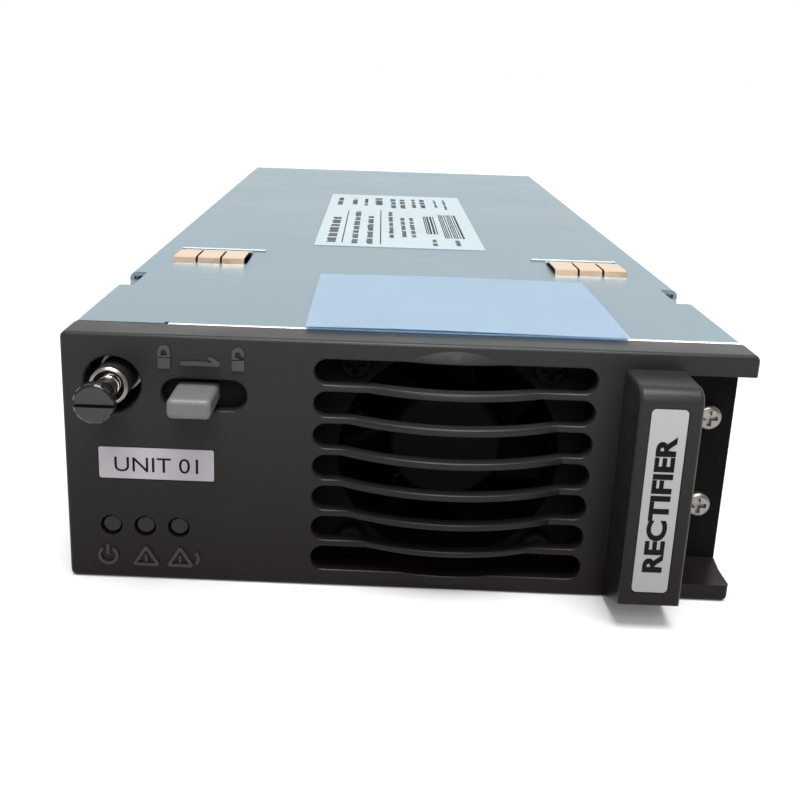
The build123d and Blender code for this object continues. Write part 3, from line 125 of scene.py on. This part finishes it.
# ---- Film on the cover, with its heights in mm ----
FILM_ACROSS = 72
FILM_ALONG = 60
FILM_REST = 0.55
FILM_SWELL = 0.14
FILM_FOLD = 0.22
FILM_CURL = 0.10
FOLD_PLACE = 0.58  # share of the film's length
FOLD_SPREAD = 0.20
FOLD_WANDER = 0.10
CURL_REACH = 0.06
FILM_WAVER = 0.5 * MM  # how far the front edge strays from straight
FILM_THICK = 0.12 * MM
FILM_EDGE_ANGLE = math.radians(50)

# ---- Light and floor ----
WORLD_FRONT = 0.10
WORLD_BACK = 1.0
WORLD_SPAN = (-0.7, 0.6)  # between these directions along Y
FLOOR_REACH = 8.0
FLOOR_COLOUR = (0.52, 0.52, 0.52)
FLOOR_GLOW = 0.12
SUN_FROM = (0.06, -0.22, 1.0)
SUN_POWER = 4.6
SUN_SPREAD = 34  # degrees
FRONT_LIGHT_PLACE = (0.02, -0.85, 0.62)
FRONT_LIGHT_AIM = (0, -0.12, 0.03)
FRONT_LIGHT_SIZE = 0.42
FRONT_LIGHT_POWER = 4.2


def add_camera():
    """The camera, set as the active one."""
    data = bpy.data.cameras.new("camera")
    data.lens = CAMERA_LENS
    data.sensor_width = CAMERA_SENSOR
    data.shift_x, data.shift_y = CAMERA_SHIFT
    data.clip_start = CAMERA_NEAR
    camera = bpy.data.objects.new("camera", data)
    camera.location = CAMERA_PLACE
    camera.rotation_euler = Euler([math.radians(turn) for turn in CAMERA_TURN], "XYZ")
    bpy.context.scene.collection.objects.link(camera)
    bpy.context.scene.camera = camera


# ---- Materials ----
def set_inputs(made, **values):
    """Input values of a shader node, where an underscore stands for a space."""
    for name, value in values.items():
        made.inputs[name.replace("_", " ")].default_value = value


def node(tree, kind, **values):
    """A new shader node with its input values set."""
    made = tree.nodes.new(kind)
    set_inputs(made, **values)
    return made


def ramp(tree, source, low, high, from_low=0.3, from_high=0.7):
    """A value stretched from one range to another."""
    mapped = node(tree, "ShaderNodeMapRange", From_Min=from_low, From_Max=from_high,
                  To_Min=low, To_Max=high)
    tree.links.new(source, mapped.inputs["Value"])
    return mapped.outputs["Result"]


def noise(tree, coordinates, scale, detail=3.0, stretch=(1, 1, 1)):
    """Noise in the object's own metres, stretched along an axis if asked."""
    mapping = node(tree, "ShaderNodeMapping", Scale=stretch)
    tree.links.new(coordinates, mapping.inputs["Vector"])
    made = node(tree, "ShaderNodeTexNoise", Scale=scale, Detail=detail)
    tree.links.new(mapping.outputs["Vector"], made.inputs["Vector"])
    return made.outputs["Fac"]


def mix_colours(tree, factor, first, second):
    """Colour between two, each a colour or an output."""
    blend = node(tree, "ShaderNodeMix")
    blend.data_type = "RGBA"
    tree.links.new(factor, blend.inputs[0])
    for place, colour in ((6, first), (7, second)):
        if isinstance(colour, (tuple, list)):
            blend.inputs[place].default_value = (*colour, 1)
        else:
            tree.links.new(colour, blend.inputs[place])
    return blend.outputs[2]


def finish(name, colour, roughness, metallic=0.0, tint=0.08, tint_scale=45.0, smear=0.06,
           smear_scale=70.0, grain=0.0, grain_scale=3000.0, stretch=(1, 1, 1), coat=0.0,
           specular=0.5, alpha=1.0, painted_low_shade=None, painted_shade_span=(0.0, 0.04), grain_depth=0.0002):
    """A surface whose colour, gloss and relief vary over it."""
    made = bpy.data.materials.new(name)
    made.use_nodes = True
    tree = made.node_tree
    shader = tree.nodes["Principled BSDF"]
    set_inputs(shader, Metallic=metallic, Specular_IOR_Level=specular, Coat_Weight=coat,
               Alpha=alpha)
    place = node(tree, "ShaderNodeTexCoord").outputs["Object"]
    dark = [channel * (1 - tint) for channel in colour]
    light = [min(1.0, channel * (1 + tint)) for channel in colour]
    base = mix_colours(tree, ramp(tree, noise(tree, place, tint_scale), 0, 1), dark, light)
    # Painted reflection: towards the bottom the colour darkens and browns, standing in for a
    # dark brown surface reflected below the front.
    if painted_low_shade:
        split = node(tree, "ShaderNodeSeparateXYZ")
        tree.links.new(place, split.inputs["Vector"])
        height = ramp(tree, split.outputs["Z"], 0, 1, *painted_shade_span)
        base = mix_colours(tree, height, painted_low_shade, base)
    tree.links.new(base, shader.inputs["Base Color"])
    gloss = ramp(tree, noise(tree, place, smear_scale, 4.0, stretch), roughness - smear,
                 roughness + smear)
    tree.links.new(gloss, shader.inputs["Roughness"])
    if grain:
        bump = node(tree, "ShaderNodeBump", Strength=grain, Distance=grain_depth)
        tree.links.new(noise(tree, place, grain_scale, 2.0, stretch), bump.inputs["Height"])
        tree.links.new(bump.outputs["Normal"], shader.inputs["Normal"])
    return made


MATERIALS = {
    # Painted reflection: the bezel turns darker and browner towards the bottom.
    "bezel_plastic": dict(colour=(0.020, 0.021, 0.020), roughness=0.33, tint=0.08, grain=0.14,
                          grain_scale=4200, tint_scale=30, painted_low_shade=(0.006, 0.0035, 0.003),
                          specular=0.16),
    # Painted reflection: the handle plate turns darker towards the bottom.
    "handle_plate": dict(colour=(0.36, 0.36, 0.37), roughness=0.30, tint=0.03, grain=0.04,
                         painted_low_shade=(0.24, 0.23, 0.23)),
    "label_paper": dict(colour=(0.33, 0.305, 0.33), roughness=0.34, tint=0.03, grain=0.04),
    # Partly the plastic's own black, partly painted shade: darkened further so the inside of the
    # case reads as unlit.
    "black_plastic": dict(colour=(0.003, 0.0026, 0.0026), roughness=0.55, tint=0.2, grain=0.12,
                          specular=0.06),
    "knob_plastic": dict(colour=(0.008, 0.007, 0.007), roughness=0.16, tint=0.15, smear=0.05,
                         grain=0.04, coat=0.2),
    "zinc_steel": dict(colour=(0.215, 0.290, 0.33), roughness=0.40, metallic=0.70, tint=0.03,
                       tint_scale=16, smear=0.05, smear_scale=25, grain=0.03, grain_scale=900),
    "rating_paper": dict(colour=(0.31, 0.375, 0.40), roughness=0.42, tint=0.03, grain=0.04),
    "film": dict(colour=(0.42, 0.55, 0.68), roughness=0.5, tint=0.02, smear=0.02,
                 specular=0.25),
    "copper_alloy": dict(colour=(0.88, 0.66, 0.48), roughness=0.30, metallic=1.0, tint=0.06,
                         grain=0.10, grain_scale=2600, stretch=(1, 0.06, 1)),
    "nickel": dict(colour=(0.30, 0.28, 0.26), roughness=0.36, metallic=1.0, tint=0.12,
                   tint_scale=400, grain=0.05),
    "button_plastic": dict(colour=(0.115, 0.120, 0.120), roughness=0.34, tint=0.05, grain=0.14,
                           grain_scale=4200, specular=0.3),
    # Partly the steel's own dark colour, partly painted shade: darkened further so the screws
    # inside the case read as unlit.
    "dark_steel": dict(colour=(0.004, 0.0035, 0.0035), roughness=0.55, grain=0.08,
                       specular=0.08),
    "spring_steel": dict(colour=(0.66, 0.66, 0.66), roughness=0.22, metallic=1.0),
    "steel": dict(colour=(0.5, 0.5, 0.5), roughness=0.3, metallic=1.0, grain=0.03),
    "clear_plastic": dict(colour=(0.008, 0.006, 0.005), roughness=0.2, tint=0.10,
                          specular=0.3),
    "lamp_body": dict(colour=(0.6, 0.6, 0.55), roughness=0.35),
    "board_green": dict(colour=(0.01, 0.09, 0.03), roughness=0.35, grain=0.05),
    "insulator": dict(colour=(0.55, 0.5, 0.35), roughness=0.4),
    "aluminium": dict(colour=(0.6, 0.61, 0.62), roughness=0.38, metallic=1.0, grain=0.05,
                      stretch=(1, 0.05, 1)),
    "device_epoxy": dict(colour=(0.015, 0.015, 0.016), roughness=0.5, grain=0.1),
    "ferrite": dict(colour=(0.02, 0.02, 0.022), roughness=0.6, grain=0.2),
    "winding_copper": dict(colour=(0.5, 0.2, 0.07), roughness=0.3, metallic=0.8, grain=0.2,
                           grain_scale=900),
    "box_yellow": dict(colour=(0.6, 0.36, 0.03), roughness=0.35),
    "can_sleeve": dict(colour=(0.01, 0.015, 0.06), roughness=0.25),
    "glass_tube": dict(colour=(0.7, 0.75, 0.75), roughness=0.08, alpha=0.5),
    "contact_metal": dict(colour=(0.75, 0.52, 0.18), roughness=0.25, metallic=1.0),
    "print": dict(colour=(0.004, 0.004, 0.005), roughness=0.5, tint=0.1, specular=0.1),
    # Painted highlight of the rounded fold along the cover's front edge.
    "painted_lip_highlight": dict(colour=(0.80, 0.86, 0.86), roughness=0.35, metallic=0.3, tint=0.03),
    # Painted reflection: the icons turn darker and browner towards the bottom.
    "icon_relief": dict(colour=(0.046, 0.048, 0.046), roughness=0.34, tint=0.10, grain=0.10,
                        grain_scale=4200, specular=0.3, painted_low_shade=(0.022, 0.018, 0.015)),
}


def paint():
    """Every CAD node gets the finish of its slot in the record."""
    made = {name: finish(name, **values) for name, values in MATERIALS.items()}
    for name, piece in frame["nodes"].items():
        piece.data.materials.clear()
        piece.data.materials.append(made[SLOTS[name]])
    return made


# ---- Pieces ----
def add_piece(name, mesh, node_name, material=None):
    """A mesh as a piece that rides the body of a CAD node, in its slot's material unless it has
    or is given another.
    """
    piece = bpy.data.objects.new(name, mesh)
    bpy.context.scene.collection.objects.link(piece)
    slot = SLOTS[node_name]
    if not mesh.materials:
        mesh.materials.append(materials[material or slot])
    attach(piece, BODY_OF[node_name])
    return piece


def is_grille_rim(edge, low, high):
    """True for the outer edge of a grille slot."""
    middle = (edge.verts[0].co + edge.verts[1].co) / 2
    if not (low.x < middle.x < high.x and low.z < middle.z < high.z and middle.y < high.y):
        return False
    if len(edge.link_faces) != 2 or edge.calc_face_angle() < RIM_ANGLE:
        return False
    facing = sorted(face.normal.y for face in edge.link_faces)
    return facing[0] < RIM_FACING and abs(facing[1]) < WALL_FACING


def is_crease(edge):
    """True for a sharp edge, and for a slight fold beside a face square to the front."""
    if len(edge.link_faces) != 2:
        return True
    angle = edge.calc_face_angle(0.0)
    square = [face.normal.y < SQUARE_FACING for face in edge.link_faces]
    return angle > CREASE_ANGLE or (square[0] != square[1] and angle > SLIGHT_CREASE_ANGLE)


def soft_bezel():
    """The bezel with its grille's slots rounded at the front and its raised icons lighter."""
    node_name = "front_bezel"
    low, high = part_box(node_name)
    face = high.y - BEZEL_DEPTH
    grille_low = Vector((low.x + GRILLE_LEFT, 0, low.z + GRILLE_LOW))
    grille_high = Vector((high.x - GRILLE_RIGHT, face + GRILLE_BACK, low.z + GRILLE_HIGH))
    work = bmesh.new()
    work.from_mesh(frame["nodes"][node_name].data)
    bmesh.ops.remove_doubles(work, verts=work.verts, dist=WELD)
    near = [vert for vert in work.verts
            if grille_low.x - GRILLE_MARGIN < vert.co.x < grille_high.x + GRILLE_MARGIN]
    chosen = set(near)
    joined = [edge for edge in work.edges if chosen.issuperset(edge.verts)]
    bmesh.ops.dissolve_limit(work, angle_limit=FLAT_ANGLE, verts=near, edges=joined)
    rims = [edge for edge in work.edges if is_grille_rim(edge, grille_low, grille_high)]
    bmesh.ops.bevel(work, geom=rims, offset=SLOT_ROUND, offset_type="OFFSET",
                    segments=SLOT_ROUND_STEPS, profile=0.5, affect="EDGES",
                    clamp_overlap=False)
    for edge in work.edges:
        edge.smooth = not is_crease(edge)
    mesh = bpy.data.meshes.new("bezel_shell")
    work.to_mesh(mesh)
    work.free()
    mesh.materials.append(materials["bezel_plastic"])
    mesh.materials.append(materials["icon_relief"])
    for polygon in mesh.polygons:
        middle = polygon.center
        polygon.use_smooth = True
        if middle.y < face - ICON_RISE and middle.x < low.x + ICON_REACH:
            polygon.material_index = 1
    piece = add_piece("bezel_shell", mesh, node_name)
    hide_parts(node_name)


def paint_lip_highlight():
    """The cover with a painted highlight on the rounded fold of its front edge."""
    node_name = "top_cover"
    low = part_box(node_name)[0]
    mesh = frame["nodes"][node_name].data.copy()
    mesh.materials.clear()
    mesh.materials.append(materials["zinc_steel"])
    mesh.materials.append(materials["painted_lip_highlight"])
    # Faces of the front fold get the painted highlight.
    for polygon in mesh.polygons:
        middle = polygon.center
        if middle.y < low.y + LIP_DEPTH and middle.x > low.x + LIP_START:
            polygon.material_index = 1
    piece = add_piece("cover_shell", mesh, node_name)
    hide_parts(node_name)


def box_faces(work, low, high):
    """A box added to a mesh."""
    made = bmesh.ops.create_cube(work, size=1.0)["verts"]
    middle = (low + high) / 2
    for vert in made:
        vert.co = Vector([middle[i] + vert.co[i] * (high[i] - low[i]) for i in range(3)])


def lettering(name, text, height, width, place, turn, node_name, weight):
    """Printed word, scaled to a height and a width and centred on a place of the front."""
    curve = bpy.data.curves.new(name, "FONT")
    curve.body = text
    curve.offset = weight
    curve.resolution_u = CURVE_STEPS
    curve.extrude = CURVE_EXTRUDE
    source = bpy.data.objects.new(name + "_curve", curve)
    bpy.context.scene.collection.objects.link(source)
    bpy.context.view_layer.update()
    mesh = bpy.data.meshes.new_from_object(source.evaluated_get(
        bpy.context.evaluated_depsgraph_get()))
    bpy.data.objects.remove(source)
    points = [vert.co for vert in mesh.vertices]
    low = Vector([min(point[i] for point in points) for i in range(3)])
    high = Vector([max(point[i] for point in points) for i in range(3)])
    mesh.transform(Matrix.Translation(-(low + high) / 2))
    size = high - low
    mesh.transform(Matrix.Diagonal((width / size.x, height / size.y, PRINT_DEPTH / size.z, 1)))
    mesh.transform(Matrix.Rotation(math.radians(turn), 4, "Z"))
    mesh.transform(Matrix.Rotation(math.radians(90), 4, "X"))
    mesh.transform(Matrix.Translation(place))
    mesh.materials.clear()
    return add_piece(name, mesh, node_name, "print")


def front_print():
    """A plain word on each of the two front labels."""
    for node_name, (name, text, height, width, drop, turn, weight) in FRONT_WORDS.items():
        low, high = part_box(node_name)
        middle = (low + high) / 2
        place = Vector((middle.x, low.y, middle.z - drop))
        lettering(name, text, height, width, place, turn, node_name, weight)


def word_bars(draw, x_span, y_span):
    """Bars that stand for the letters of a line of small print along Y."""
    bars = []
    y = y_span[0]
    while y < y_span[1]:
        for _ in range(draw.randint(*LETTERS_PER_WORD)):
            letter = draw.uniform(*LETTER_WIDTHS) * MM
            inset = draw.uniform(*LETTER_INSETS) * (x_span[1] - x_span[0])
            bars.append((x_span[0] + inset, x_span[1], y, y + letter))
            y += letter + LETTER_GAP
        y += WORD_GAP
    return [bar for bar in bars if bar[3] <= y_span[1]]


def code_bars(draw, x_span, y_span):
    """Upright bars of a made-up bar code, spread along X."""
    bars = []
    x = x_span[0]
    while x < x_span[1]:
        width = draw.choice(CODE_WIDTHS) * MM
        bars.append((x, x + width, *y_span))
        x += width + draw.choice(CODE_GAPS) * MM
    return [bar for bar in bars if bar[1] <= x_span[1]]


def rating_print():
    """Greeked print of the rating label: lines of bars, two rules and two bar codes."""
    low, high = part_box("rating_label")
    width = high.x - low.x
    length = high.y - low.y
    draw = random.Random(PRINT_SEED)
    bars = []

    def span(low_x, high_x, low_y, high_y):
        return ((low.x + low_x * width, low.x + high_x * width),
                (low.y + low_y * length, low.y + high_y * length))

    for line in TEXT_LINES:
        bars += word_bars(draw, *span(*line))
    for rule in RULES:
        x_span, y_span = span(*rule)
        bars.append((*x_span, *y_span))
    for code in BAR_CODES:
        bars += code_bars(draw, *span(*code))
    work = bmesh.new()
    for x_low, x_high, y_low, y_high in bars:
        box_faces(work, Vector((x_low, y_low, high.z)), Vector((x_high, y_high, high.z + INK)))
    mesh = bpy.data.meshes.new("rating_print")
    work.to_mesh(mesh)
    work.free()
    add_piece("rating_print", mesh, "rating_label", "print")


def film_rise(u, v):
    """Height of the film above the cover, from slow ripples, a fold and raised edges."""
    swell = FILM_SWELL * math.sin(5.1 * u + 2.2 * v) * math.sin(3.4 * v + 0.6)
    crest = FOLD_PLACE + FOLD_WANDER * math.sin(4 * u)
    fold = FILM_FOLD * math.exp(-((v - crest) / FOLD_SPREAD) ** 2)
    fold *= 0.5 + 0.5 * math.sin(3.1 * u)
    curl = FILM_CURL * math.exp(-min(u, 1 - u, v, 1 - v) / CURL_REACH)
    return (FILM_REST + swell + fold + curl) * MM


def cover_film():
    """The film on the cover, lying in shallow ripples with its edges a little raised."""
    node_name = "blank_label"
    low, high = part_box(node_name)
    work = bmesh.new()
    rows = []
    for j in range(FILM_ALONG + 1):
        v = j / FILM_ALONG
        row = []
        for i in range(FILM_ACROSS + 1):
            u = i / FILM_ACROSS
            x = low.x + u * (high.x - low.x)
            y = low.y + v * (high.y - low.y) + FILM_WAVER * math.sin(2.4 * u + 0.4) * (1 - v)
            row.append(work.verts.new((x, y, low.z + film_rise(u, v))))
        rows.append(row)
    for front, back in zip(rows, rows[1:]):
        for i in range(FILM_ACROSS):
            work.faces.new((front[i], front[i + 1], back[i + 1], back[i]))
    bmesh.ops.solidify(work, geom=work.faces[:], thickness=FILM_THICK)
    mesh = bpy.data.meshes.new("cover_film")
    work.to_mesh(mesh)
    work.free()
    for polygon in mesh.polygons:
        polygon.use_smooth = True
    mesh.set_sharp_from_angle(angle=FILM_EDGE_ANGLE)
    piece = add_piece("cover_film", mesh, node_name)
    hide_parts(node_name)


def pressed_spring(node_name):
    """A copy of a coil spring, riding on its node's body in place of the node."""
    mesh = frame["nodes"][node_name].data.copy()
    piece = add_piece(node_name + "_coil", mesh, node_name)
    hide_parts(node_name)
    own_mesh(piece)


def springs():
    """Both springs, as copies of their nodes."""
    pressed_spring("screw_spring")
    pressed_spring("latch_spring")


# ---- Light and floor ----
def add_area(name, place, aim, size, power):
    """A soft square light that faces a point."""
    data = bpy.data.lights.new(name, "AREA")
    data.size = size
    data.energy = power
    light = bpy.data.objects.new(name, data)
    light.location = place
    light.rotation_euler = (Vector(aim) - Vector(place)).to_track_quat("-Z", "Y").to_euler()
    bpy.context.scene.collection.objects.link(light)


def add_sun(name, direction, power, spread):
    """A very soft light from far away, so that the whole floor is lit alike."""
    data = bpy.data.lights.new(name, "SUN")
    data.energy = power
    data.angle = math.radians(spread)
    light = bpy.data.objects.new(name, data)
    light.rotation_euler = Vector(direction).to_track_quat("Z", "Y").to_euler()
    bpy.context.scene.collection.objects.link(light)


def add_studio():
    """White floor, surroundings that are bright behind and dim in front, and soft top lights."""
    world = bpy.data.worlds.new("studio")
    world.use_nodes = True
    tree = world.node_tree
    background = tree.nodes["Background"]
    set_inputs(background, Color=(1, 1, 1, 1))
    split = node(tree, "ShaderNodeSeparateXYZ")
    tree.links.new(node(tree, "ShaderNodeTexCoord").outputs["Generated"], split.inputs["Vector"])
    tree.links.new(ramp(tree, split.outputs["Y"], WORLD_FRONT, WORLD_BACK, *WORLD_SPAN),
                   background.inputs["Strength"])
    bpy.context.scene.world = world
    mesh = bpy.data.meshes.new("floor")
    corners = [(x * FLOOR_REACH, y * FLOOR_REACH, 0)
               for x, y in ((-1, -1), (1, -1), (1, 1), (-1, 1))]
    mesh.from_pydata(corners, [], [(0, 1, 2, 3)])
    floor = bpy.data.objects.new("floor", mesh)
    bpy.context.scene.collection.objects.link(floor)
    surface = finish("floor", FLOOR_COLOUR, 0.8, tint=0.01, tint_scale=2, specular=0.1)
    set_inputs(surface.node_tree.nodes["Principled BSDF"], Emission_Color=(1, 1, 1, 1),
               Emission_Strength=FLOOR_GLOW)
    mesh.materials.append(surface)
    add_sun("overhead", SUN_FROM, SUN_POWER, SUN_SPREAD)
    add_area("front_high", FRONT_LIGHT_PLACE, FRONT_LIGHT_AIM, FRONT_LIGHT_SIZE,
             FRONT_LIGHT_POWER)
    bpy.context.scene.view_settings.view_transform = "Standard"


add_camera()
materials = paint()
add_studio()
soft_bezel()
paint_lip_highlight()
front_print()
rating_print()
cover_film()
springs()
